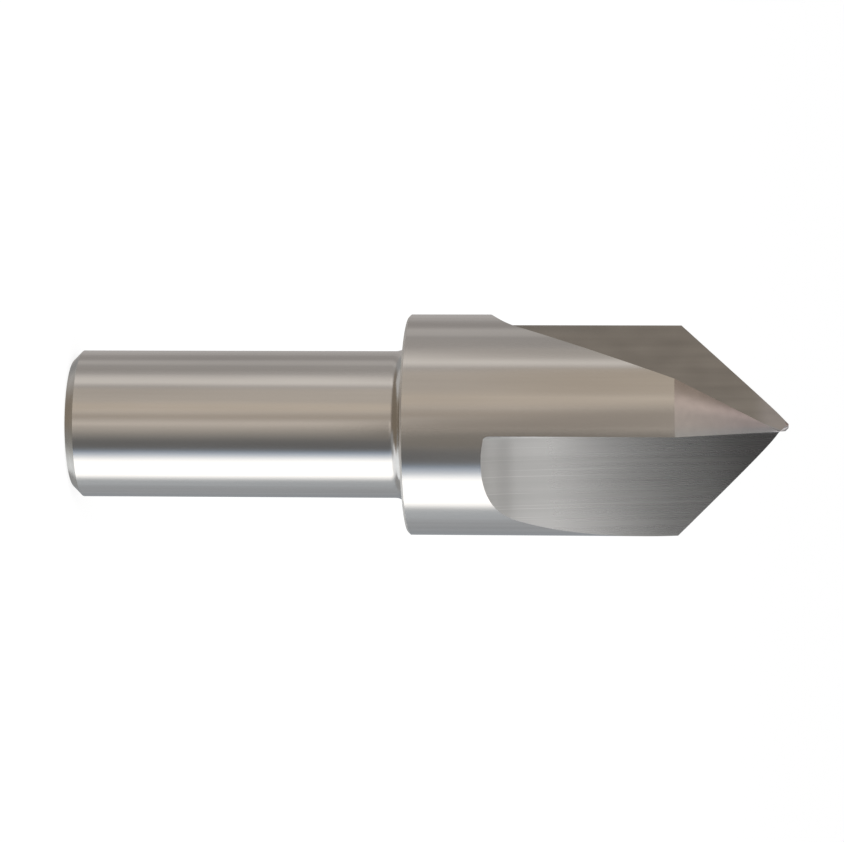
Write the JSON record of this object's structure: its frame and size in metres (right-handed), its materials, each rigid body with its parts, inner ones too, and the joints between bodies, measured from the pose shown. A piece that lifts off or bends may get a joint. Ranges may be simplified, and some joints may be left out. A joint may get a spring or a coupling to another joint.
{
  "type": "countersink bit",
  "caption": "One-piece ground steel countersink bit: round chamfered shank, larger cylindrical head, V-ground flutes and a relieved conical point for right-hand cutting.",
  "frame": {"origin": "centre of the flat end of the shank, which the bit stands on", "axes": "+Z along the axis from the shank end to the point; the first land faces -Y, with its cutting edge about six degrees to the +X side of -Y"},
  "size_m": [0.019, 0.019, 0.0619],
  "materials": {
    "ground_steel": "cylinders polished around the axis, flutes and point ground with fine straight lines"
  },
  "bodies": {
    "root": {"countersink_bit": "ground_steel"}
  },
  "joints": []
}
